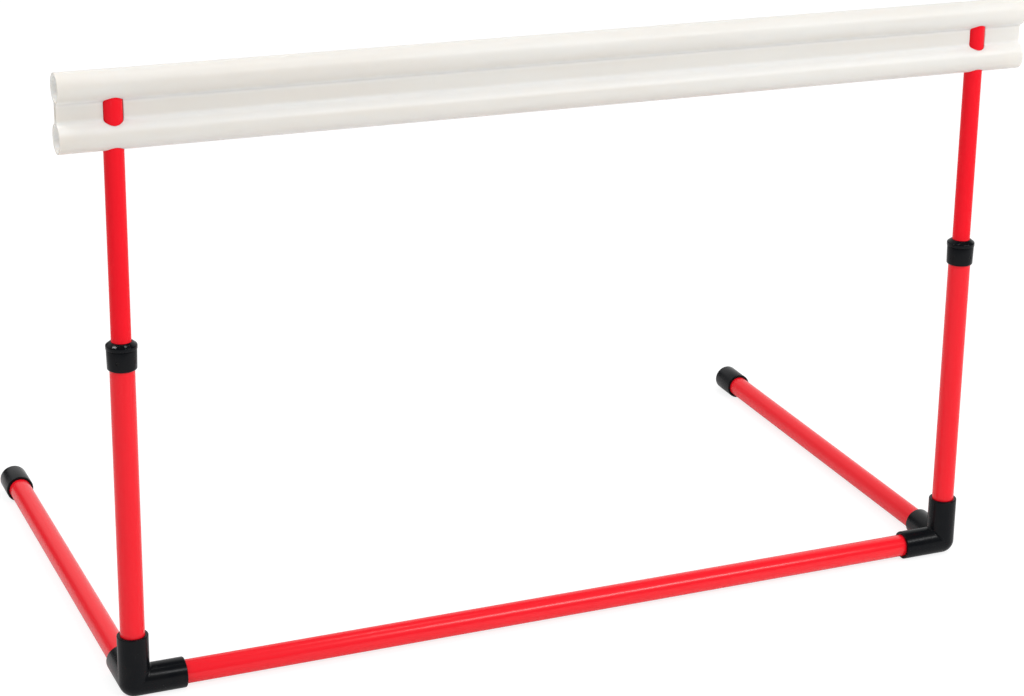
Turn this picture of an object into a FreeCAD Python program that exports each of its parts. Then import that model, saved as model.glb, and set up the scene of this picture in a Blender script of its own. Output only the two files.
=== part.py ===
# Speed hurdle of plastic tube: two corner fittings join a crossbar, two feet and two lower
# uprights. Upper uprights slide in the lower ones, twist-lock collars hold their height, and
# a hollow bar with two round beads drops over their tops.
# Frame: +X along the bar, +Y back along the feet, +Z up, origin on the ground under the middle.
import FreeCAD
import Part
import math
import os

# Setting and plan of the hurdle, in millimetres
bar_setting = 656.0
lowest_setting = 500.0
bar_length = 1060.0
bar_overhang = 54.0
foot_reach = 563.0

# Tubes: the upper upright slides in a base tube
mast_tube_od = 20.0
mast_tube_wall = 1.8
slide_gap = 0.7
base_tube_wall = 1.8
lower_upright_length = 333.0

# Corner fittings
glue_gap = 0.05
fitting_wall = 3.45
fitting_reach = 52.0
socket_depth = 32.0
stop_width = 3.05
crook_round = 2.0
ground_flat_depth = 0.8
mouth_round_share = 0.3

# Foot caps
cap_wall = 2.95
cap_length = 39.0
cap_end_wall = 3.0
cap_round_share = 0.85

# Collar sleeves
guide_gap = 0.3
sleeve_height = 21.0
thread_depth = 5.5
sleeve_lip = 2.0
thread_gap = 0.08
sleeve_wall = 1.72
sleeve_draft = 0.4
sleeve_round_share = 0.7

# Grip rings
grip_gap = 0.05
grip_wall = 2.85
grip_land = 1.1
grip_height = 2.9
grip_top_share = 0.33
grip_room = 0.4
grip_slit = 2.0

# Lock nuts
nut_gap = 0.3
nut_overhang = 0.5
nut_height = 7.6
nut_shoulder_height = 3.5
nut_rim = 0.6

# Sleeve screws
screw_drop = 11.0
screw_head_od = 4.0
screw_shank_od = 2.2
screw_head_height = 1.1
screw_length = 3.6
screw_sink = 0.2
screw_slot_width = 0.7
screw_slot_depth = 0.5
screw_angles = {-1: -29.0, 1: 18.0}

# Hurdle bar
bar_wall = 2.0
bead_room = 3.0
bead_pitch = 49.0
web_thickness = 8.0
web_round_share = 0.5
mast_hole_gap = 0.5
rest_gap = 0.3

# Mast foot room at the lowest setting, overrun of cuts, and the tolerance for finding edges
mast_foot_room = 1.0
overrun = 5.0
edge_tolerance = 0.001

# Radii that follow
mast_r = mast_tube_od / 2
base_bore_r = mast_r + slide_gap
base_r = base_bore_r + base_tube_wall
socket_r = base_r + glue_gap
fitting_r = socket_r + fitting_wall
core_bore_r = socket_r - stop_width
cap_r = socket_r + cap_wall
guide_r = mast_r + guide_gap
grip_r = mast_r + grip_gap + grip_wall
thread_r = grip_r + grip_room
sleeve_r = max(thread_r + thread_gap, socket_r) + sleeve_wall
nut_r = sleeve_r + nut_overhang
bead_bore_r = mast_r + bead_room
bead_r = bead_bore_r + bar_wall

# Places that follow
upright_spacing = bar_length - 2 * bar_overhang
axis_height = fitting_r - ground_flat_depth
base_y = (fitting_r - foot_reach) / 2
stop_reach = fitting_reach - socket_depth
lower_upright_foot = axis_height + stop_reach
lower_upright_top = lower_upright_foot + lower_upright_length
shoulder_z = lower_upright_top + sleeve_lip + thread_depth
sleeve_foot = shoulder_z - sleeve_height
nut_foot = shoulder_z + nut_gap
upper_bead_z = bar_setting - bead_r
lower_bead_z = upper_bead_z - bead_pitch
mast_top = upper_bead_z + math.sqrt(bead_bore_r ** 2 - mast_r ** 2) - rest_gap
mast_foot = lower_upright_foot + mast_foot_room + bar_setting - lowest_setting

up = FreeCAD.Vector(0, 0, 1)
back = FreeCAD.Vector(0, 1, 0)
along = FreeCAD.Vector(1, 0, 0)


def upright_axis(side, height):
    """A point on the axis of the upright on one side."""
    return FreeCAD.Vector(side * upright_spacing / 2, base_y, height)


def rims_at(shape, centre):
    """The circular edges of a shape that are centred on a point."""
    rings = [edge for edge in shape.Edges if isinstance(edge.Curve, Part.Circle)]
    return [edge for edge in rings if edge.Curve.Center.isEqual(centre, edge_tolerance)]


def pipe(outer_r, wall, length, start, axis):
    """A plain tube."""
    outside = Part.makeCylinder(outer_r, length, start, axis)
    return outside.cut(Part.makeCylinder(outer_r - wall, length, start, axis))


def turned(profile, side):
    """A solid turned about an upright's axis from an outline of radius and height pairs."""
    foot = upright_axis(side, 0)
    corners = [foot + FreeCAD.Vector(radius, 0, height) for radius, height in profile]
    outline = Part.makePolygon(corners + corners[:1])
    return Part.Face(outline).revolve(foot, up, 360)


def above_ground(shape):
    """A moulding with its lowest skin cut flat, where it stands on the ground."""
    box = shape.BoundBox
    corner = FreeCAD.Vector(box.XMin - overrun, box.YMin - overrun, box.ZMin - overrun)
    depth = -corner.z
    slab = Part.makeBox(box.XLength + 2 * overrun, box.YLength + 2 * overrun, depth, corner)
    return shape.cut(slab)


def corner_fitting(side):
    """Three-way elbow: ball-shaped outer corner, three sockets with stops, hollow core."""
    corner = upright_axis(side, axis_height)
    arms = (up, along * -side, back)
    skins = [Part.makeSphere(fitting_r, corner)]
    hollows = [Part.makeSphere(core_bore_r * math.sqrt(2) + glue_gap, corner)]
    for arm in arms:
        mouth = corner + arm * fitting_reach
        skin = Part.makeCylinder(fitting_r, fitting_reach, corner, arm)
        skin = skin.makeFillet(mouth_round_share * fitting_wall, rims_at(skin, mouth))
        skins.append(skin)
        hollows.append(Part.makeCylinder(core_bore_r, fitting_reach, corner, arm))
        stop = corner + arm * stop_reach
        hollows.append(Part.makeCylinder(socket_r, socket_depth + overrun, stop, arm))
    body = skins[0].fuse(skins[1:]).removeSplitter()
    body = body.makeFillet(crook_round, [edge for edge in body.Edges if is_crook(edge)])
    return above_ground(body.cut(hollows[0].fuse(hollows[1:]))).removeSplitter()


def is_crook(edge):
    """Whether an edge of a fitting is a line where two of its arms run into each other."""
    return not edge.Degenerated and isinstance(edge.Curve, Part.Ellipse)


def crossbar():
    """Tube between the two corner fittings."""
    start = upright_axis(-1, axis_height) + along * stop_reach
    length = upright_spacing - 2 * stop_reach
    return pipe(base_r, base_tube_wall, length, start, along)


def foot_tube(side):
    """Tube that runs back along the ground, from its socket's stop to the cap's end wall."""
    start = upright_axis(side, axis_height) + back * stop_reach
    length = foot_reach - cap_end_wall - stop_reach
    return pipe(base_r, base_tube_wall, length, start, back)


def foot_cap(side):
    """Cup over the back end of a foot, as low as the corner fitting."""
    end = upright_axis(side, axis_height) + back * foot_reach
    mouth = end - back * cap_length
    body = Part.makeCylinder(cap_r, cap_length, mouth, back)
    body = body.makeFillet(cap_round_share * cap_wall, rims_at(body, end))
    body = body.makeFillet(mouth_round_share * cap_wall, rims_at(body, mouth))
    hollow_length = cap_length - cap_end_wall + overrun
    hollow = Part.makeCylinder(socket_r, hollow_length, mouth - back * overrun, back)
    return above_ground(body.cut(hollow))


def screw_blank(gap):
    """Countersunk screw with its head at the origin and its tip below it, or its hole."""
    head_r = screw_head_od / 2 + gap
    shank_r = screw_shank_od / 2 + gap
    head = Part.makeCone(shank_r, head_r, screw_head_height, up * -screw_head_height, up)
    shank = Part.makeCylinder(shank_r, screw_length + gap, up * -(screw_length + gap), up)
    return head.fuse(shank)


def screw_placement(side):
    """Where the screw's head lies, just under the sleeve's tapered skin."""
    turn = math.radians(screw_angles[side])
    outward = FreeCAD.Vector(math.sin(turn), -math.cos(turn), 0)
    skin_r = sleeve_r - sleeve_draft * screw_drop / sleeve_height
    head = upright_axis(side, shoulder_z - screw_drop) + outward * (skin_r - screw_sink)
    return FreeCAD.Placement(head, FreeCAD.Rotation(up, outward))


def sleeve_screw(side):
    """Short screw through the sleeve into the wall of the lower upright."""
    screw = screw_blank(0)
    corner = FreeCAD.Vector(-screw_head_od, -screw_slot_width / 2, -screw_slot_depth)
    slot = Part.makeBox(2 * screw_head_od, screw_slot_width, screw_slot_depth + overrun, corner)
    screw = screw.cut(slot).removeSplitter()
    screw.Placement = screw_placement(side)
    return screw


def screw_hole(side):
    """The hole for a sleeve screw, open outwards above its head."""
    way_in = Part.makeCylinder(screw_head_od / 2 + glue_gap, overrun)
    hole = screw_blank(glue_gap).fuse(way_in)
    hole.Placement = screw_placement(side)
    return hole


def lower_upright(side):
    """Tube from the corner fitting's stop to the lip of the collar sleeve."""
    start = upright_axis(side, lower_upright_foot)
    tube = pipe(base_r, base_tube_wall, lower_upright_length, start, up)
    return tube.cut(screw_hole(side))


def collar_sleeve(side):
    """Tapered socket on the lower upright, with a lip that guides the mast and a nut thread."""
    foot_r = sleeve_r - sleeve_draft
    round_r = sleeve_round_share * (foot_r - socket_r)
    foot = upright_axis(side, sleeve_foot)
    skin = Part.makeCone(foot_r, sleeve_r, sleeve_height, foot, up)
    skin = skin.makeFillet(round_r, rims_at(skin, foot))
    lip = lower_upright_top + sleeve_lip
    below = upright_axis(side, sleeve_foot - overrun)
    socket = Part.makeCylinder(socket_r, lower_upright_top - sleeve_foot + overrun, below, up)
    guide = Part.makeCylinder(guide_r, sleeve_height, foot, up)
    thread = Part.makeCylinder(thread_r + thread_gap, thread_depth + overrun, upright_axis(side, lip), up)
    return skin.cut(socket.fuse([guide, thread])).cut(screw_hole(side))


def grip_slope():
    """Rise over run of the cone where the nut meets the grip ring."""
    return (grip_height - grip_land) / (grip_wall * (1 - grip_top_share))


def grip_ring(side):
    """Split ring on the sleeve's lip, tapered on top, close round the mast."""
    seat = lower_upright_top + sleeve_lip
    bore = mast_r + grip_gap
    top_r = bore + grip_top_share * grip_wall
    top = seat + grip_height
    ring = turned([(bore, seat), (grip_r, seat), (grip_r, seat + grip_land), (top_r, top), (bore, top)], side)
    corner = upright_axis(side, seat) - along * (grip_slit / 2)
    return ring.cut(Part.makeBox(grip_slit, grip_r + overrun, grip_height + overrun, corner))


def lock_nut(side):
    """Ring with a sloping shoulder above the sleeve and a threaded spigot down inside it."""
    bore = guide_r
    cone_foot = lower_upright_top + sleeve_lip + grip_land + guide_gap
    outer_foot = cone_foot - grip_slope() * grip_room
    inner_foot = cone_foot + grip_slope() * (grip_r - bore)
    top = nut_foot + nut_height
    return turned([(thread_r, outer_foot), (thread_r, nut_foot), (nut_r, nut_foot),
                   (nut_r, top - nut_shoulder_height), (bore + nut_rim, top), (bore, top),
                   (bore, inner_foot)], side)


def upper_upright(side):
    """Sliding tube, from inside the lower upright to the roof of the bar's upper bead."""
    start = upright_axis(side, mast_foot)
    return pipe(mast_r, mast_tube_wall, mast_top - mast_foot, start, up)


def hurdle_bar():
    """Hollow profile: two beads, a chambered web, and holes that drop over the uprights."""
    end = FreeCAD.Vector(-bar_length / 2, base_y, 0)
    beads = [end + up * height for height in (upper_bead_z, lower_bead_z)]
    web_foot = end + up * lower_bead_z - back * (web_thickness / 2)
    web = Part.makeBox(bar_length, web_thickness, bead_pitch, web_foot)
    body = web.fuse([Part.makeCylinder(bead_r, bar_length, bead, along) for bead in beads])
    body = body.removeSplitter()
    creases = [edge for edge in body.Edges if is_crease(edge)]
    body = body.makeFillet(web_round_share * web_thickness, creases)
    hollows = [Part.makeCylinder(bead_bore_r, bar_length, bead, along) for bead in beads]
    chamber = web_thickness - 2 * bar_wall
    chamber_foot = end + up * (lower_bead_z + bead_r) - back * (chamber / 2)
    hollows.append(Part.makeBox(bar_length, chamber, bead_pitch - 2 * bead_r, chamber_foot))
    for side in (-1, 1):
        below = upright_axis(side, lower_bead_z - bead_r - overrun)
        hollows.append(Part.makeCylinder(mast_r + mast_hole_gap, upper_bead_z - below.z, below, up))
    return body.cut(hollows)


def is_crease(edge):
    """Whether an edge of the bar is a line where its web runs into a bead."""
    box = edge.BoundBox
    on_web = abs(abs(box.Center.y - base_y) - web_thickness / 2) < edge_tolerance
    return on_web and box.XLength > bar_length - edge_tolerance


pieces = {"base_crossbar": crossbar(), "hurdle_bar": hurdle_bar()}
for side, word in ((-1, "left"), (1, "right")):
    pieces[word + "_corner_fitting"] = corner_fitting(side)
    pieces[word + "_foot_tube"] = foot_tube(side)
    pieces[word + "_foot_cap"] = foot_cap(side)
    pieces[word + "_lower_upright"] = lower_upright(side)
    pieces[word + "_collar_sleeve"] = collar_sleeve(side)
    pieces[word + "_sleeve_screw"] = sleeve_screw(side)
    pieces[word + "_grip_ring"] = grip_ring(side)
    pieces[word + "_lock_nut"] = lock_nut(side)
    pieces[word + "_upper_upright"] = upper_upright(side)

os.makedirs("parts", exist_ok=True)
for node, shape in pieces.items():
    shape.exportStep("parts/" + node + ".step")
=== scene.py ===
# Speed hurdle, dressed: every piece is modelled where its solid stands, in metres, in the order in
# which the hurdle is put together.
import bmesh
import bpy
import math
from mathutils import Matrix, Quaternion, Vector


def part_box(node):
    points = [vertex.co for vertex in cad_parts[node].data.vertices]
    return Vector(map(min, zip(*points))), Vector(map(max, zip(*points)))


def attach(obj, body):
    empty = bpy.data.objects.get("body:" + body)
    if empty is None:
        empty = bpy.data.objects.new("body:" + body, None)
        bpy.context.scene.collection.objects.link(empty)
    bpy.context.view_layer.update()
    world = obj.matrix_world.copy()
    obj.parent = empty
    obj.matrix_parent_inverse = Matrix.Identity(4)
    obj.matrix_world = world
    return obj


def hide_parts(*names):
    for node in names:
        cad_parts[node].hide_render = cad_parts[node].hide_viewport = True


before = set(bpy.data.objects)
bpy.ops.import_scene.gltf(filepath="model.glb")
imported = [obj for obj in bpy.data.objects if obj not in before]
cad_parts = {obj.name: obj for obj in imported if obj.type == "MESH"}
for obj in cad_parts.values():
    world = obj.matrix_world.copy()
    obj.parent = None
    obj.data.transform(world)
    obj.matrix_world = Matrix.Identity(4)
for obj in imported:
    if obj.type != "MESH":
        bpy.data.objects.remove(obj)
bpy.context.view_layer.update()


# Base tubes: the crossbar, the two feet and the two lower uprights, all cut from one red plastic
# tube. It is extruded, so faint drawn lines run along its skin; each length is sawn, its rims are
# broken with a blade, and it is glued into the sockets of the black fittings.
tube_wall = 0.0018
tube_rim = 0.0004
round_sides = 96
hair = 1e-6
near = 1e-5
smooth_angle = math.radians(30)
true_angle = math.radians(20)
red_dye = (0.87, 0.009, 0.020, 1.0)
red_dye_deep = (0.84, 0.007, 0.017, 1.0)
red_scuffed = (0.86, 0.10, 0.11, 1.0)
base_gloss = 0.25
crossbar_gloss = 0.36
base_wear = 0.3
red_roughness = 0.19
red_relief = 0.25
relief_depth = 0.0001

# The red tube's patterns, in waves to the metre across the tube and along it, and where they begin and end
streak_waves = (260.0, 2.5)
line_waves = (1400.0, 6.0)
scuff_waves = (420.0, 35.0)
cloud_waves = (16.0, 16.0)
scuff_edge = (0.66, 0.78)
scuff_patch = (0.5, 0.62)
dye_edge = (0.3, 0.75)


def choose(kind, test):
    """Selects, in edit mode, only the corners, edges or faces that pass a test."""
    bpy.ops.mesh.select_mode(type=kind)
    bpy.ops.mesh.select_all(action="DESELECT")
    mesh = bmesh.from_edit_mesh(bpy.context.object.data)
    parts = {"VERT": mesh.verts, "EDGE": mesh.edges, "FACE": mesh.faces}[kind]
    for part in parts:
        if test(part):
            part.select_set(True)
    bmesh.update_edit_mesh(bpy.context.object.data)


def faces_up(face):
    """Whether a face looks up the axis of its piece."""
    return face.normal.z > 0.9


def faces_down(face):
    """Whether a face looks down the axis of its piece."""
    return face.normal.z < -0.9


def rings(edge):
    """The height of an edge that runs round the upright axis at one height, or None."""
    first, second = (corner.co for corner in edge.verts)
    level = abs(first.z - second.z) < hair
    round_axis = abs(first.xy.length - second.xy.length) < near
    return first.z if level and round_axis else None


def settle(piece, turn, place, angle=smooth_angle):
    """Closes a modelled piece: faces outwards, turned and moved into place, smooth but for its edges."""
    bpy.ops.mesh.select_all(action="SELECT")
    bpy.ops.mesh.normals_make_consistent(inside=False)
    bpy.ops.object.mode_set(mode="OBJECT")
    piece.rotation_euler = turn
    piece.location = place
    bpy.ops.object.transform_apply(location=True, rotation=True, scale=True)
    bpy.ops.object.shade_smooth_by_angle(angle=angle)


def fix(piece, node, body, finish):
    """Hands a piece over: what it moves with, what it stands for, and its finish."""
    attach(piece, body)
    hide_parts(node)
    piece.data.materials.clear()
    piece.data.materials.append(finish)


def cut_tube(name, node, body, finish):
    """A sawn length of tube where its solid stands: bored through, its four rims broken."""
    low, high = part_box(node)
    size = high - low
    length = max(size)
    bpy.ops.object.select_all(action="DESELECT")
    bpy.ops.mesh.primitive_cylinder_add(vertices=round_sides, radius=min(size) / 2, depth=length)
    tube = bpy.context.object
    tube.name = name
    bpy.ops.object.mode_set(mode="EDIT")
    choose("FACE", lambda face: faces_up(face) or faces_down(face))
    bpy.ops.mesh.inset(thickness=tube_wall)
    bpy.ops.mesh.bridge_edge_loops()
    choose("EDGE", lambda edge: rings(edge) is not None)
    bpy.ops.mesh.bevel(offset=tube_rim, segments=2)
    lies_along = [(0, math.pi / 2, 0), (math.pi / 2, 0, 0), (0, 0, 0)]
    # The crossbar's shading runs into its rims, so that its light streak fades towards both ends
    angle = smooth_angle if length == size.x else true_angle
    settle(tube, lies_along[list(size).index(length)], (low + high) / 2, angle)
    fix(tube, node, body, finish)
    return tube


class Wire:
    """A socket among a finish's nodes: sums and products of it become Math nodes."""

    def __init__(self, tree, socket=None):
        self.tree = tree
        self.socket = socket

    def node(self, kind, settings, sockets, out=0):
        """Any node: its type, its settings, then the values or links of its sockets."""
        made = self.tree.nodes.new(kind)
        for name, value in settings.items():
            setattr(made, name, value)
        for name, value in sockets.items():
            if isinstance(value, Wire):
                self.tree.links.new(value.socket, made.inputs[name])
            else:
                made.inputs[name].default_value = value
        return Wire(self.tree, made.outputs[out])

    def maths(self, operation, first, second=0.0):
        return self.node("ShaderNodeMath", {"operation": operation}, {0: first, 1: second})

    def __add__(self, other):
        return self.maths("ADD", self, other)

    def __radd__(self, other):
        return self.maths("ADD", other, self)

    def __sub__(self, other):
        return self.maths("SUBTRACT", self, other)

    def __rsub__(self, other):
        return self.maths("SUBTRACT", other, self)

    def __mul__(self, other):
        return self.maths("MULTIPLY", self, other)

    def __rmul__(self, other):
        return self.maths("MULTIPLY", other, self)

    def __abs__(self):
        return self.maths("ABSOLUTE", self)


def new_finish(name, gloss):
    """A finish with an even gloss: its nodes, its place on the piece and its shader's sockets."""
    finish = bpy.data.materials.new(name)
    finish.use_nodes = True
    skin = finish.node_tree.nodes["Principled BSDF"].inputs
    skin["Specular IOR Level"].default_value = gloss
    nodes = Wire(finish.node_tree)
    return finish, nodes, nodes.node("ShaderNodeTexCoord", {}, {}, "Object"), skin


def grain(nodes, place, scale, detail=2.0, roughness=0.5):
    """Noise of so many waves to the metre along X, Y and Z."""
    spread = nodes.node("ShaderNodeMapping", {}, {"Vector": place, "Scale": scale})
    sockets = {"Vector": spread, "Scale": 1.0, "Detail": detail, "Roughness": roughness}
    return nodes.node("ShaderNodeTexNoise", {}, sockets)


def between(nodes, value, low, high):
    """How far a value lies between two levels, from 0 to 1, eased at both ends."""
    settings = {"interpolation_type": "SMOOTHSTEP"}
    return nodes.node("ShaderNodeMapRange", settings, {"Value": value, "From Min": low, "From Max": high})


def tint(nodes, share, first, second):
    """A colour between two others."""
    return nodes.node("ShaderNodeMix", {"data_type": "RGBA"}, {0: share, 6: first, 7: second}, 2)


def feed(nodes, socket, value):
    """Links a value to a socket of the shader."""
    nodes.tree.links.new(value.socket, socket)


def relief(nodes, skin, strength, height):
    """Gives a finish its fine relief."""
    sockets = {"Strength": strength, "Distance": relief_depth, "Height": height}
    feed(nodes, skin["Normal"], nodes.node("ShaderNodeBump", {}, sockets))


def red_finish(name, axis, gloss, wear):
    """Red tube: dye a little uneven in long streaks, fine drawn lines, and a few pale scuffs."""
    finish, nodes, place, skin = new_finish(name, gloss)

    def drawn(waves, detail, roughness):
        """Noise that is drawn out along the tube."""
        scale = [waves[0]] * 3
        scale[axis] = waves[1]
        return grain(nodes, place, scale, detail, roughness)

    streaks = drawn(streak_waves, 3.0, 0.6)
    lines = drawn(line_waves, 2.0, 0.5)
    cloud = drawn(cloud_waves, 3.0, 0.5)
    scuffs = between(nodes, drawn(scuff_waves, 4.0, 0.65), *scuff_edge)
    scuffs = scuffs * between(nodes, cloud, *scuff_patch)
    dye = tint(nodes, between(nodes, streaks * 0.6 + cloud * 0.4, *dye_edge), red_dye, red_dye_deep)
    feed(nodes, skin["Base Color"], tint(nodes, scuffs * wear, dye, red_scuffed))
    feed(nodes, skin["Roughness"], red_roughness + cloud * 0.07 + streaks * 0.04 + scuffs * 0.15)
    relief(nodes, skin, red_relief, lines * 0.5 + streaks * 0.8 - scuffs * 0.6)
    return finish


red_across = red_finish("red_tube_across", 0, crossbar_gloss, base_wear)
red_back = red_finish("red_tube_back", 1, base_gloss, base_wear)
red_up = red_finish("red_tube_up", 2, base_gloss, base_wear)
cut_tube("crossbar", "base_crossbar", "base", red_across)
lower_tubes = {}
for side in ("left", "right"):
    cut_tube(side + "_foot", side + "_foot_tube", "base", red_back)
    lower_tubes[side] = cut_tube(side + "_lower_tube", side + "_lower_upright", "base", red_up)


# Corner fittings: three-way elbows of black plastic, moulded in one shot, with a socket in each arm
# for a tube end and a fine seam where the mould closed. The outer corner is a quarter of a ball, and
# a narrow flat is moulded underneath, where the hurdle stands on it.
fitting_reach = 0.052
socket_r = 0.01255
socket_depth = 0.032
stop_ledge = 0.00305
core_depth = 0.009
crook_round = 0.002
crook_angle = 0.15
mouth_round = 0.001
socket_lead = 0.0003
black_dye = (0.0034, 0.0042, 0.0056, 1.0)
black_dye_warm = (0.0054, 0.0057, 0.0067, 1.0)
black_rubbed = (0.030, 0.029, 0.028, 1.0)
moulding_roughness = 0.26
moulding_gloss = 0.115
black_relief = 0.12

# The black plastic's patterns, in waves to the metre, and where they begin and end
black_cloud_waves = [45.0] * 3
black_grain_waves = [2600.0] * 3
rub_waves = [310.0] * 3
rub_edge = (0.68, 0.8)
rub_patch = (0.48, 0.6)
black_dye_edge = (0.35, 0.65)
seam_edge = (0.0001, 0.0004)
seam_rise = 1.6


def mouth_radius(edge):
    """The radius of an edge that runs round the mouth of an elbow's arm, or None."""
    reaches = [max(corner.co) for corner in edge.verts]
    if min(reaches) < fitting_reach - hair:
        return None
    first, second = (math.sqrt(corner.co.length_squared - max(corner.co) ** 2) for corner in edge.verts)
    return first if abs(first - second) < hair else None


def mirrored(piece, name):
    """The like piece on the other side of the hurdle, with a mesh of its own."""
    bpy.ops.object.select_all(action="DESELECT")
    piece.select_set(True)
    bpy.context.view_layer.objects.active = piece
    bpy.ops.object.duplicate()
    other = bpy.context.object
    other.name = name
    other.scale.x = -1
    bpy.ops.object.transform_apply(location=False, rotation=False, scale=True)
    bpy.ops.object.mode_set(mode="EDIT")
    bpy.ops.mesh.select_all(action="SELECT")
    bpy.ops.mesh.remove_doubles(threshold=hair / 10)
    bpy.ops.mesh.normals_make_consistent(inside=False)
    bpy.ops.object.mode_set(mode="OBJECT")
    return other


def coordinate(nodes, place, axis):
    """One coordinate of a place."""
    return nodes.node("ShaderNodeSeparateXYZ", {}, {0: place}, axis)


def black_finish(name, roughness, gloss, seam_height=None):
    """Black moulding: fine moulded grain, uneven gloss, a few rubbed spots, and its mould seam."""
    finish, nodes, place, skin = new_finish(name, gloss)
    cloud = grain(nodes, place, black_cloud_waves, 3.0)
    fine = grain(nodes, place, black_grain_waves)
    rub = between(nodes, grain(nodes, place, rub_waves, 5.0, 0.7), *rub_edge)
    rub = rub * between(nodes, cloud, *rub_patch)
    dye = tint(nodes, between(nodes, cloud, *black_dye_edge), black_dye, black_dye_warm)
    feed(nodes, skin["Base Color"], tint(nodes, rub * 0.5, dye, black_rubbed))
    feed(nodes, skin["Roughness"], roughness - 0.05 + cloud * 0.1 + rub * 0.2)
    height = fine * 0.5 - rub * 0.4
    if seam_height:
        off_seam = abs(coordinate(nodes, place, "Z") - seam_height)
        height = height + (1.0 - between(nodes, off_seam, *seam_edge)) * seam_rise
    relief(nodes, skin, black_relief, height)
    return finish


low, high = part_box("left_corner_fitting")
fitting_r = high.x - low.x - fitting_reach
corner_height = high.z - fitting_reach
corner = Vector((low.x + fitting_r, low.y + fitting_r, corner_height))
bpy.ops.object.select_all(action="DESELECT")
bpy.ops.mesh.primitive_cylinder_add(vertices=round_sides, radius=fitting_r, depth=fitting_reach,
                                    location=(0, 0, fitting_reach / 2))
bpy.ops.object.transform_apply(location=True, rotation=False, scale=False)
left_elbow = bpy.context.object
left_elbow.name = "left_elbow"
bpy.ops.object.mode_set(mode="EDIT")
choose("FACE", faces_down)
bpy.ops.mesh.delete(type="FACE")
for other_arm in ((1, 0, -1), (0, 1, -1)):
    bpy.ops.mesh.select_all(action="SELECT")
    bpy.ops.mesh.bisect(plane_co=(0, 0, 0), plane_no=other_arm, clear_outer=True, threshold=hair)
bpy.ops.object.mode_set(mode="OBJECT")
elbow_parts = [left_elbow]
for third in (1, 2):
    bpy.ops.object.duplicate()
    bpy.context.object.matrix_world = Matrix.Rotation(third * math.tau / 3, 4, Vector((1, 1, 1)))
    elbow_parts.append(bpy.context.object)
bpy.ops.object.select_all(action="DESELECT")
bpy.ops.mesh.primitive_uv_sphere_add(segments=round_sides, ring_count=round_sides // 2, radius=fitting_r)
elbow_parts.append(bpy.context.object)
bpy.ops.object.mode_set(mode="EDIT")
for arm_side in ((1, 0, 0), (0, 1, 0), (0, 0, 1)):
    bpy.ops.mesh.select_all(action="SELECT")
    bpy.ops.mesh.bisect(plane_co=(0, 0, 0), plane_no=arm_side, clear_outer=True, threshold=hair)
bpy.ops.object.mode_set(mode="OBJECT")
for elbow_part in elbow_parts:
    elbow_part.select_set(True)
bpy.context.view_layer.objects.active = left_elbow
bpy.ops.object.join()
bpy.ops.object.mode_set(mode="EDIT")
bpy.ops.mesh.select_all(action="SELECT")
bpy.ops.mesh.remove_doubles(threshold=near)
bpy.ops.mesh.normals_make_consistent(inside=False)
choose("EDGE", lambda edge: edge.calc_face_angle(0) > crook_angle and mouth_radius(edge) is None)
bpy.ops.mesh.bevel(offset=crook_round, segments=5, clamp_overlap=True)
choose("FACE", lambda face: max(face.calc_center_median()) > fitting_reach - hair)
bpy.ops.mesh.inset(thickness=fitting_r - socket_r, use_individual=True)
bpy.ops.mesh.inset(thickness=0, depth=-socket_depth, use_individual=True)
bpy.ops.mesh.inset(thickness=stop_ledge, use_individual=True)
bpy.ops.mesh.inset(thickness=0, depth=-core_depth, use_individual=True)
choose("EDGE", lambda edge: (mouth_radius(edge) or 0) > fitting_r - near)
bpy.ops.mesh.bevel(offset=mouth_round, segments=4)
choose("EDGE", lambda edge: abs((mouth_radius(edge) or 0) - socket_r) < near)
bpy.ops.mesh.bevel(offset=socket_lead, segments=2)
bpy.ops.mesh.select_all(action="SELECT")
bpy.ops.mesh.bisect(plane_co=(0, 0, -corner_height), plane_no=(0, 0, -1), threshold=hair,
                    clear_outer=True, use_fill=True)
settle(left_elbow, (0, 0, 0), corner)
right_elbow = mirrored(left_elbow, "right_elbow")
moulding_finish = black_finish("black_moulding", moulding_roughness, moulding_gloss, corner_height)
fix(left_elbow, "left_corner_fitting", "base", moulding_finish)
fix(right_elbow, "right_corner_fitting", "base", moulding_finish)


# Foot caps: cups of the same black plastic, pushed over the back ends of the feet. The closed end is
# well rounded and shows the sunk spot where the plastic was shot in; the cup stands on a flat.
cap_end_wall = 0.003
cap_end_round = 0.0025
cap_mouth_round = 0.0009
cap_gloss = 0.14
gate_r = 0.0022
gate_depth = 0.0004
most_wall_corners = 8


def is_disc(face):
    """Whether a face is a whole disc, not one of the sides that make up a wall."""
    return len(face.verts) > most_wall_corners


def ring_at(edge, radius, height):
    """Whether an edge runs round the upright axis at a radius and a height."""
    level = rings(edge)
    if level is None:
        return False
    return abs(level - height) < hair and abs(edge.verts[0].co.xy.length - radius) < near


low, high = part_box("left_foot_cap")
cap_r = (high.x - low.x) / 2
cap_length = high.y - low.y
cap_axis_height = high.z - cap_r
bpy.ops.object.select_all(action="DESELECT")
bpy.ops.mesh.primitive_cylinder_add(vertices=round_sides, radius=cap_r, depth=cap_length)
left_cap = bpy.context.object
left_cap.name = "left_cap"
bpy.ops.object.mode_set(mode="EDIT")
choose("FACE", faces_up)
bpy.ops.mesh.inset(thickness=cap_r - socket_r)
bpy.ops.mesh.inset(thickness=0, depth=cap_end_wall - cap_length)
choose("EDGE", lambda edge: ring_at(edge, cap_r, -cap_length / 2))
bpy.ops.mesh.bevel(offset=cap_end_round, segments=6)
choose("FACE", lambda face: faces_down(face) and is_disc(face))
bpy.ops.mesh.inset(thickness=cap_r - cap_end_round - gate_r)
bpy.ops.mesh.inset(thickness=gate_depth, depth=-gate_depth)
choose("EDGE", lambda edge: ring_at(edge, cap_r, cap_length / 2))
bpy.ops.mesh.bevel(offset=cap_mouth_round, segments=4)
choose("EDGE", lambda edge: ring_at(edge, socket_r, cap_length / 2))
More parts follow.
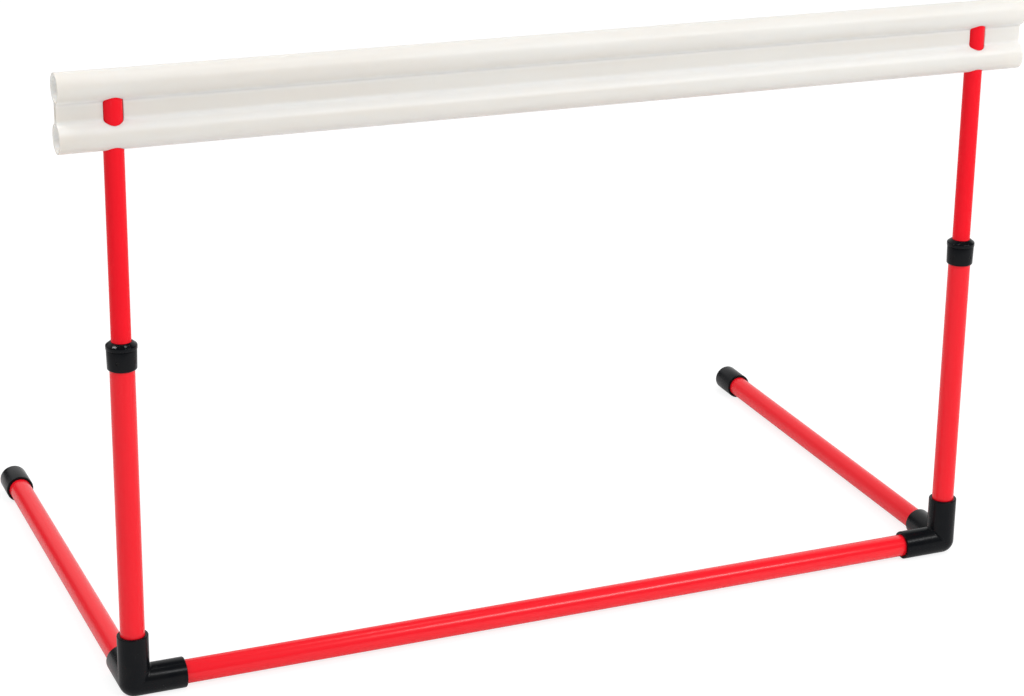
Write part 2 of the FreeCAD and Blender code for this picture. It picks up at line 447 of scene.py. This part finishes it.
bpy.ops.mesh.bevel(offset=socket_lead, segments=2)
bpy.ops.mesh.select_all(action="SELECT")
bpy.ops.mesh.bisect(plane_co=(0, -cap_axis_height, 0), plane_no=(0, -1, 0), threshold=hair,
                    clear_outer=True, use_fill=True)
settle(left_cap, (math.pi / 2, 0, 0), ((low.x + high.x) / 2, (low.y + high.y) / 2, cap_axis_height))
right_cap = mirrored(left_cap, "right_cap")
cap_finish = black_finish("black_cap", moulding_roughness, cap_gloss, cap_axis_height)
fix(left_cap, "left_foot_cap", "base", cap_finish)
fix(right_cap, "right_foot_cap", "base", cap_finish)


# Collar sleeves: black moulded sockets on the tops of the lower uprights, slightly tapered, each held
# by a small countersunk screw. A lip inside guides the sliding tube; above it the thread takes the nut,
# and a split ring of natural nylon lies on the lip and grips the tube.
sleeve_draft = 0.0004
sleeve_lip = 0.002
sleeve_foot_round = 0.0015
sleeve_top_round = 0.0003
thread_bore_r = 0.01338
guide_r = 0.0103
screw_head_r = 0.00205
screw_head_depth = 0.0015
screw_shank_r = 0.00115
screw_length = 0.0039
drill_lead = 0.002
drill_sides = 48
collar_roughness = 0.18
collar_gloss = 0.11
nylon = (0.46, 0.44, 0.38, 1.0)
nylon_pale = (0.56, 0.54, 0.48, 1.0)
nylon_waves = [380.0] * 3
nylon_edge = (0.3, 0.7)
nylon_gloss = 0.3
nylon_relief = 0.2
screw_coating = (0.006, 0.006, 0.0065, 1.0)
screw_steel = (0.06, 0.058, 0.056, 1.0)
screw_waves = [1500.0] * 3
screw_edge = (0.56, 0.7)
screw_gloss = 0.15


def drill(piece, skin, inwards, radius, depth):
    """Drills a round hole into a piece, from a point on its skin and so deep."""
    start = skin - inwards * drill_lead
    length = depth + drill_lead
    bpy.ops.object.select_all(action="DESELECT")
    bpy.ops.mesh.primitive_cylinder_add(vertices=drill_sides, radius=radius, depth=length,
                                        location=start + inwards * length / 2,
                                        rotation=inwards.to_track_quat("Z", "Y").to_euler())
    bit = bpy.context.object
    bpy.ops.object.select_all(action="DESELECT")
    piece.select_set(True)
    bpy.context.view_layer.objects.active = piece
    bpy.ops.object.modifier_add(type="BOOLEAN")
    hole = piece.modifiers[-1]
    hole.operation = "DIFFERENCE"
    hole.object = bit
    bpy.ops.object.modifier_apply(modifier=hole.name)
    bpy.data.objects.remove(bit)
    bpy.ops.object.mode_set(mode="EDIT")
    bpy.ops.mesh.select_all(action="SELECT")
    bpy.ops.mesh.remove_doubles(threshold=hair)
    bpy.ops.object.mode_set(mode="OBJECT")
    bpy.ops.object.shade_smooth_by_angle(angle=smooth_angle)


def nylon_finish():
    """Grip ring: natural nylon, cloudy, with the matt skin of a cheap moulding."""
    finish, nodes, place, skin = new_finish("natural_nylon", nylon_gloss)
    cloud = grain(nodes, place, nylon_waves, 3.0)
    feed(nodes, skin["Base Color"], tint(nodes, between(nodes, cloud, *nylon_edge), nylon, nylon_pale))
    feed(nodes, skin["Roughness"], 0.4 + cloud * 0.15)
    relief(nodes, skin, nylon_relief, cloud)
    return finish


def screw_finish():
    """Sleeve screw: steel with a thin black coating, rubbed through in spots."""
    finish, nodes, place, skin = new_finish("coated_screw", screw_gloss)
    spots = between(nodes, grain(nodes, place, screw_waves, 4.0, 0.6), *screw_edge)
    feed(nodes, skin["Base Color"], tint(nodes, spots, screw_coating, screw_steel))
    feed(nodes, skin["Metallic"], spots * 0.9)
    feed(nodes, skin["Roughness"], 0.42 - spots * 0.12)
    return finish


low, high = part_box("left_collar_sleeve")
tube_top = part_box("left_lower_upright")[1].z
sleeve_r = (high.x - low.x) / 2
sleeve_foot_r = sleeve_r - sleeve_draft
sleeve_height = high.z - low.z
thread_depth = high.z - tube_top - sleeve_lip
bpy.ops.object.select_all(action="DESELECT")
bpy.ops.mesh.primitive_cone_add(vertices=round_sides, radius1=sleeve_foot_r, radius2=sleeve_r,
                                depth=sleeve_height)
left_sleeve = bpy.context.object
left_sleeve.name = "left_sleeve"
bpy.ops.object.mode_set(mode="EDIT")
choose("FACE", faces_down)
bpy.ops.mesh.inset(thickness=sleeve_foot_r - socket_r)
bpy.ops.mesh.inset(thickness=0, depth=low.z - tube_top)
bpy.ops.mesh.inset(thickness=socket_r - guide_r)
choose("FACE", lambda face: faces_up(face) and face.calc_center_median().z > sleeve_height / 2 - hair)
bpy.ops.mesh.inset(thickness=sleeve_r - thread_bore_r)
bpy.ops.mesh.inset(thickness=0, depth=-thread_depth)
bpy.ops.mesh.inset(thickness=thread_bore_r - guide_r)
choose("FACE", is_disc)
bpy.ops.mesh.bridge_edge_loops()
choose("EDGE", lambda edge: ring_at(edge, sleeve_foot_r, -sleeve_height / 2))
bpy.ops.mesh.bevel(offset=sleeve_foot_round, segments=5)
choose("EDGE", lambda edge: ring_at(edge, sleeve_r, sleeve_height / 2))
bpy.ops.mesh.bevel(offset=sleeve_top_round, segments=2)
settle(left_sleeve, (0, 0, 0), (low + high) / 2)
sleeves = {"left": left_sleeve, "right": mirrored(left_sleeve, "right_sleeve")}
collar_finish = black_finish("black_collar", collar_roughness, collar_gloss)
grip_finish = nylon_finish()
coated_screw = screw_finish()
for side, sleeve in sleeves.items():
    low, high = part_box(side + "_lower_upright")
    axis = (low + high) / 2
    low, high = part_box(side + "_sleeve_screw")
    screw = (low + high) / 2
    inwards = Vector((axis.x - screw.x, axis.y - screw.y, 0)).normalized()
    skin_point = Vector((axis.x, axis.y, screw.z)) - inwards * sleeve_r
    drill(sleeve, skin_point, inwards, screw_head_r, screw_head_depth)
    drill(sleeve, skin_point, inwards, screw_shank_r, screw_length)
    drill(lower_tubes[side], skin_point, inwards, screw_shank_r, screw_length)
    fix(sleeve, side + "_collar_sleeve", "base", collar_finish)
    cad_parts[side + "_sleeve_screw"].material_slots[0].material = coated_screw
    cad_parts[side + "_grip_ring"].material_slots[0].material = grip_finish


# Upper uprights: lengths of a thinner red tube that slide in the lower ones and carry the bar. They are
# sawn and broken at the rims like the rest, and the collars leave fine rubbed lines along them.
sliding_gloss = 0.08
sliding_wear = 0.5
sliding_finish = red_finish("red_tube_sliding", 2, sliding_gloss, sliding_wear)
for side in ("left", "right"):
    cut_tube(side + "_upper_tube", side + "_upper_upright", side + "_mast", sliding_finish)


# Lock nuts: black moulded rings with a sloping shoulder, screwed into the sleeves round the sliding
# tubes. Turned down, the cone inside closes the grip ring on the tube and locks the height.
nut_rim_r = 0.0109
nut_land = 0.0041
nut_shoulder = 0.0035
nut_shoulder_round = 0.0009
nut_edge_round = 0.0004
nut_spigot_r = 0.0133
nut_cone_rise = 0.0028
nut_roughness = 0.12
nut_gloss = 0.12


def nut_edge(edge):
    """Whether an edge runs round the foot of the nut's land or the top of its shoulder."""
    foot = ring_at(edge, nut_r, -nut_land / 2)
    return foot or ring_at(edge, nut_rim_r, nut_land / 2 + nut_shoulder)


low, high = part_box("left_lock_nut")
nut_r = (high.x - low.x) / 2
spigot_length = high.z - low.z - nut_shoulder - nut_land
land_middle = high.z - nut_shoulder - nut_land / 2
bpy.ops.object.select_all(action="DESELECT")
bpy.ops.mesh.primitive_cylinder_add(vertices=round_sides, radius=nut_r, depth=nut_land)
left_nut = bpy.context.object
left_nut.name = "left_nut_ring"
bpy.ops.object.mode_set(mode="EDIT")
choose("FACE", faces_up)
bpy.ops.mesh.inset(thickness=nut_r - nut_rim_r, depth=nut_shoulder)
bpy.ops.mesh.inset(thickness=nut_rim_r - guide_r)
choose("FACE", faces_down)
bpy.ops.mesh.inset(thickness=nut_r - nut_spigot_r)
bpy.ops.mesh.inset(thickness=0, depth=spigot_length)
bpy.ops.mesh.inset(thickness=nut_spigot_r - guide_r, depth=-nut_cone_rise)
choose("FACE", is_disc)
bpy.ops.mesh.bridge_edge_loops()
choose("EDGE", lambda edge: ring_at(edge, nut_r, nut_land / 2))
bpy.ops.mesh.bevel(offset=nut_shoulder_round, segments=5)
choose("EDGE", nut_edge)
bpy.ops.mesh.bevel(offset=nut_edge_round, segments=3)
settle(left_nut, (0, 0, 0), ((low.x + high.x) / 2, (low.y + high.y) / 2, land_middle))
right_nut = mirrored(left_nut, "right_nut_ring")
nut_finish = black_finish("black_nut", nut_roughness, nut_gloss)
fix(left_nut, "left_lock_nut", "left_nut", nut_finish)
fix(right_nut, "right_lock_nut", "right_nut", nut_finish)


# Hurdle bar: a white plastic profile, extruded in one length with two hollow beads and a chambered web
# between them. The ends are sawn off square and left open, and two holes drilled up through the lower
# bead, the web and the floor of the upper bead drop over the uprights.
bead_r = 0.015
bar_wall = 0.002
web_thickness = 0.008
crease_r = 0.004
crease_steps = 8
bead_steps = 52
bar_rim = 0.0004
square_edge = 1.4
mast_hole_r = 0.0105
hole_margin = 0.004
bar_white = (0.73, 0.695, 0.645, 1.0)
bar_white_cool = (0.75, 0.73, 0.69, 1.0)
# The next two colours are painted light: a paler white for the bead tops and creases, and a paler white for
# the inside of the beads, where shade falls.
bar_painted_pale = (0.82, 0.805, 0.775, 1.0)
bar_bore_painted_light = (0.95, 0.93, 0.89, 1.0)
bar_sawn = (0.66, 0.62, 0.56, 1.0)
bar_rubbed = (0.60, 0.55, 0.50, 1.0)
bar_gloss = 0.2
bar_roughness = 0.26
bar_relief = 0.2
bar_glow_share = 0.6
bar_glow_reach = (1.0, 0.9, 0.8)
bar_glow_depth = 0.004

# The bar's patterns, in waves to the metre along X, Y and Z, and where they begin and end
bar_cloud_waves = (3.0, 30.0, 30.0)
die_line_waves = (2.0, 900.0, 900.0)
bar_rub_waves = (26.0, 240.0, 240.0)
saw_waves = (5.0, 260.0, 1900.0)
bar_white_edge = (0.35, 0.65)
bar_rub_edge = (0.66, 0.8)
sawn_edge = (0.0003, 0.0001)

# Painted light: the bar's colour is painted paler on the tops of the beads, the lower bead's top most, and
# in the creases, standing in for light from above and lifting the shade in the creases: from so far up a
# bead, and so far from the middle of the web into the creases
painted_top_reach = (0.25 * bead_r, 0.65 * bead_r)
painted_crease_start = (0.005, 0.0095)
painted_crease_end = (0.0105, 0.016)
painted_lower_start = (0.006, 0.012)
upper_painted_light = 0.12
lower_painted_light = 0.72


def bar_finish(half_length, axis, middle, half_pitch):
    """White profile: die lines, faint rubs, matt sawn ends, and painted light: paler bead tops, paler
    creases and a paler inside of the beads.
    """
    finish, nodes, place, skin = new_finish("white_bar", bar_gloss)
    skin["Subsurface Weight"].default_value = bar_glow_share
    skin["Subsurface Radius"].default_value = bar_glow_reach
    skin["Subsurface Scale"].default_value = bar_glow_depth
    cloud = grain(nodes, place, bar_cloud_waves, 3.0)
    lines = grain(nodes, place, die_line_waves)
    rub = between(nodes, grain(nodes, place, bar_rub_waves, 5.0, 0.7), *bar_rub_edge)
    saw = grain(nodes, place, saw_waves, 3.0, 0.6)
    height = coordinate(nodes, place, "Z")
    from_end = half_length - abs(coordinate(nodes, place, "X"))
    sawn = between(nodes, from_end, *sawn_edge)
    off_middle = abs(height - middle)
    # Painted light: paler bead tops, the lower bead's top most, and paler creases, standing in for light
    # and lifting the shade.
    upper_painted_top = between(nodes, height - (middle + half_pitch), *painted_top_reach)
    lower_painted_top = between(nodes, height - (middle - half_pitch), *painted_top_reach)
    lower_painted_top = lower_painted_top * between(nodes, middle - height, *painted_lower_start)
    painted_tops = nodes.maths("MAXIMUM", upper_painted_top * upper_painted_light, lower_painted_top * lower_painted_light)
    painted_creases = between(nodes, off_middle, *painted_crease_start)
    painted_creases = painted_creases * (1.0 - between(nodes, off_middle, *painted_crease_end))
    off_axis = coordinate(nodes, place, "Y") - axis
    off_bead = off_middle - half_pitch
    from_bead = off_axis * off_axis + off_bead * off_bead
    # Painted light: the inside of the beads is painted paler than the skin, which lifts the shade in the
    # bores.
    outside = between(nodes, from_bead, (bead_r - bar_wall) ** 2, (bead_r - bar_wall / 2) ** 2)
    white = tint(nodes, between(nodes, cloud, *bar_white_edge), bar_white, bar_white_cool)
    white = tint(nodes, nodes.maths("MAXIMUM", painted_tops, painted_creases), white, bar_painted_pale)
    white = tint(nodes, rub * 0.18, white, bar_rubbed)
    white = tint(nodes, outside, bar_bore_painted_light, white)
    feed(nodes, skin["Base Color"], tint(nodes, sawn * (0.4 + saw * 0.5), white, bar_sawn))
    feed(nodes, skin["Roughness"], bar_roughness + cloud * 0.08 + rub * 0.15 + sawn * 0.3)
    relief(nodes, skin, bar_relief, lines * 0.5 + cloud * 0.4 - rub * 0.2 + sawn * saw * 2.0)
    return finish


def sawn_rim(edge):
    """Whether an edge is one of the square rims at the bar's sawn ends."""
    first, second = edge.verts
    return edge.calc_face_angle(0) > square_edge and abs(first.co.z - second.co.z) < hair


low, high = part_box("hurdle_bar")
bar_length = high.x - low.x
bar_axis = (low.y + high.y) / 2
bar_middle = (low.z + high.z) / 2
half_pitch = (high.z - low.z) / 2 - bead_r
crease_x = web_thickness / 2 + crease_r
crease_y = half_pitch - math.sqrt((bead_r + crease_r) ** 2 - crease_x ** 2)
crease_turn = math.asin((half_pitch - crease_y) / (bead_r + crease_r))
bead_turn = -crease_turn - math.pi / 2
bpy.ops.object.select_all(action="DESELECT")
bpy.ops.mesh.primitive_plane_add(size=web_thickness)
bar = bpy.context.object
bar.name = "bar"
bpy.ops.object.mode_set(mode="EDIT")
choose("VERT", lambda vert: vert.co.x < 0 or vert.co.y < 0)
bpy.ops.mesh.delete(type="VERT")
bpy.ops.mesh.select_all(action="SELECT")
bpy.ops.transform.translate(value=(0, -web_thickness / 2, 0))
bpy.ops.mesh.extrude_region_move(TRANSFORM_OT_translate={"value": (0, crease_y, 0)})
bpy.ops.mesh.spin(steps=crease_steps, angle=crease_turn, center=(crease_x, crease_y, 0), axis=(0, 0, 1))
bpy.ops.mesh.spin(steps=bead_steps, angle=bead_turn, center=(0, half_pitch, 0), axis=(0, 0, 1))
for flip in ((-1, 1, 1), (1, -1, 1)):
    bpy.ops.mesh.select_all(action="SELECT")
    bpy.ops.mesh.duplicate()
    bpy.ops.transform.resize(value=flip, center_override=(0, 0, 0))
bpy.ops.mesh.select_all(action="SELECT")
bpy.ops.mesh.remove_doubles(threshold=hair)
for bead in (half_pitch, -half_pitch):
    bpy.ops.mesh.primitive_circle_add(vertices=round_sides, radius=bead_r - bar_wall, location=(0, bead, 0))
bpy.ops.mesh.primitive_plane_add(size=1.0)
bpy.ops.transform.resize(value=(web_thickness - 2 * bar_wall, 2 * (half_pitch - bead_r), 1))
bpy.ops.mesh.delete(type="ONLY_FACE")
bpy.ops.mesh.select_all(action="SELECT")
bpy.ops.mesh.fill()
bpy.ops.mesh.extrude_region_move(TRANSFORM_OT_translate={"value": (0, 0, bar_length)})
choose("EDGE", sawn_rim)
bpy.ops.mesh.bevel(offset=bar_rim, segments=2)
settle(bar, (math.pi / 2, 0, math.pi / 2), (low.x, bar_axis, bar_middle))
for side in ("left", "right"):
    mast_low, mast_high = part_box(side + "_upper_upright")
    mast = (mast_low + mast_high) / 2
    bpy.ops.object.mode_set(mode="EDIT")
    for reach in (-mast_hole_r - hole_margin, mast_hole_r + hole_margin):
        bpy.ops.mesh.select_all(action="SELECT")
        bpy.ops.mesh.bisect(plane_co=(mast.x + reach, 0, 0), plane_no=(1, 0, 0))
    bpy.ops.object.mode_set(mode="OBJECT")
    foot_point = Vector((mast.x, mast.y, low.z))
    drill(bar, foot_point, Vector((0, 0, 1)), mast_hole_r, high.z - bead_r - low.z)
white_finish = bar_finish(bar_length / 2, bar_axis, bar_middle, half_pitch)
fix(bar, "hurdle_bar", "bar", white_finish)


# Stage: a white studio floor that runs out of sight and keeps a soft shadow. Even light comes from all
# round, more from above and in front, with a long lamp in front and two small ones above the left side;
# what is glossy mirrors a white panel behind, and a dimmer one behind on the left, in a dark room. The
# camera stands in front, on the left.
floor_span = 60.0
floor_drop = 0.0002
floor_white = (0.9, 0.9, 0.9, 1.0)
floor_shown = (0.3, 0.3, 0.3, 1.0)
floor_glow = 0.8
floor_gloss_share = 0.2
plain_white = (1.0, 1.0, 1.0, 1.0)
room_light = 0.48
sky_light = 0.15
canopy_light = 0.4
canopy_way = (0.0, -0.5, 0.866)
canopy_edge = (0.5, 1.0)
room_dark = 0.05
panel_edge = (0.05, 0.75)
panel_slant = 2.0
panel_back = (0.1, 0.4)
panel_top = (0.62, 0.85)
side_light = 0.7
side_turn = 0.6
side_slant = 0.25
side_edge = (-0.03, 0.02)


def ray_share(nodes, name):
    """1 where the light that is followed is of a kind, and 0 elsewhere."""
    return nodes.node("ShaderNodeLightPath", {}, {}, name)


def soft_lamp(name, place, aim, width, height, power, roll):
    """A square-cornered soft lamp that faces a point, turned on its own axis."""
    bpy.ops.object.light_add(type="AREA", location=place)
    lamp = bpy.context.object
    lamp.name = name
    lamp.data.shape = "RECTANGLE"
    lamp.data.size = width
    lamp.data.size_y = height
    lamp.data.energy = power
    facing = (Vector(aim) - Vector(place)).to_track_quat("-Z", "Y")
    lamp.rotation_euler = (facing @ Quaternion((0, 0, 1), math.radians(roll))).to_euler()


bpy.ops.object.select_all(action="DESELECT")
bpy.ops.mesh.primitive_plane_add(size=floor_span, location=(0, 0, -floor_drop))
floor = bpy.context.object
floor.name = "studio_floor"
floor_finish = bpy.data.materials.new("white_floor")
floor_finish.use_nodes = True
nodes = Wire(floor_finish.node_tree)
lit = nodes.node("ShaderNodeBsdfDiffuse", {}, {"Color": floor_white})
dim = nodes.node("ShaderNodeBsdfDiffuse", {}, {"Color": floor_shown})
glow = nodes.node("ShaderNodeEmission", {}, {"Color": plain_white, "Strength": floor_glow})
white = nodes.node("ShaderNodeAddShader", {}, {0: dim, 1: glow})
seen = ray_share(nodes, "Is Camera Ray") + ray_share(nodes, "Is Transmission Ray")
seen = nodes.maths("MINIMUM", seen + ray_share(nodes, "Is Glossy Ray") * floor_gloss_share, 1.0)
surface = nodes.node("ShaderNodeMixShader", {}, {0: seen, 1: lit, 2: white})
feed(nodes, floor_finish.node_tree.nodes["Material Output"].inputs["Surface"], surface)
floor.data.materials.append(floor_finish)

world = bpy.data.worlds.new("studio")
bpy.context.scene.world = world
world.use_nodes = True
nodes = Wire(world.node_tree)
way = nodes.node("ShaderNodeTexCoord", {}, {}, "Generated")
across, backwards, upwards = (coordinate(nodes, way, axis) for axis in "XYZ")
panel = between(nodes, across + upwards * panel_slant, *panel_edge)
panel = panel * between(nodes, backwards, *panel_back)
panel = panel * (1.0 - between(nodes, upwards, *panel_top))
side_panel = between(nodes, upwards * side_slant - across - backwards * side_turn, *side_edge)
side_panel = side_panel * between(nodes, backwards, *panel_back) * side_light
panel = nodes.maths("MAXIMUM", panel, side_panel)
seen = ray_share(nodes, "Is Camera Ray") + ray_share(nodes, "Is Transmission Ray")
seen = nodes.maths("MINIMUM", seen, 1.0)
mirrored_share = (1.0 - seen) * ray_share(nodes, "Is Glossy Ray")
mirrored_room = room_dark + panel * (1.0 - room_dark)
towards = {"operation": "DOT_PRODUCT"}
canopy = nodes.node("ShaderNodeVectorMath", towards, {0: way, 1: canopy_way}, "Value")
light = room_light + nodes.maths("MAXIMUM", upwards) * sky_light
light = light + between(nodes, canopy, *canopy_edge) * canopy_light
room = seen + mirrored_share * mirrored_room + (1.0 - seen - mirrored_share) * light
air = world.node_tree.nodes["Background"]
air.inputs["Color"].default_value = plain_white
feed(nodes, air.inputs["Strength"], room)

soft_lamp("front_lamp", place=(2.8, -4.0, 3.75), aim=(2.8, -0.2, 0.3),
          width=4.2, height=0.5, power=150.0, roll=0)
soft_lamp("top_lamp", place=(-1.3, 0.1, 2.1), aim=(-0.3, -0.2, 0.3),
          width=0.65, height=0.14, power=8.5, roll=49)
soft_lamp("small_lamp", place=(0.06, -0.39, 2.1), aim=(-0.4, -0.3, 0.4),
          width=0.3, height=0.12, power=1.8, roll=-56)

picture_width = 1024
picture_height = 696
focal_pixels = 2668.3
axis_pixel = (700.0, 300.0)
camera_place = (-1.0619, -2.6966, 1.2964)
camera_heading = math.radians(-26.596)
camera_dip = math.radians(19.257)
camera_roll = math.radians(2.137)
bpy.ops.object.camera_add()
camera = bpy.context.object
camera.name = "camera"
camera.data.sensor_width = 36.0
camera.data.lens = camera.data.sensor_width * focal_pixels / picture_width
camera.data.shift_x = (picture_width / 2 - axis_pixel[0]) / picture_width
camera.data.shift_y = (axis_pixel[1] - picture_height / 2) / picture_width
aim = Matrix.Rotation(camera_heading, 4, "Z") @ Matrix.Rotation(math.pi / 2 - camera_dip, 4, "X")
aim = aim @ Matrix.Rotation(camera_roll, 4, "Z")
camera.matrix_world = Matrix.Translation(camera_place) @ aim
bpy.context.scene.camera = camera
bpy.context.scene.view_settings.view_transform = "Standard"
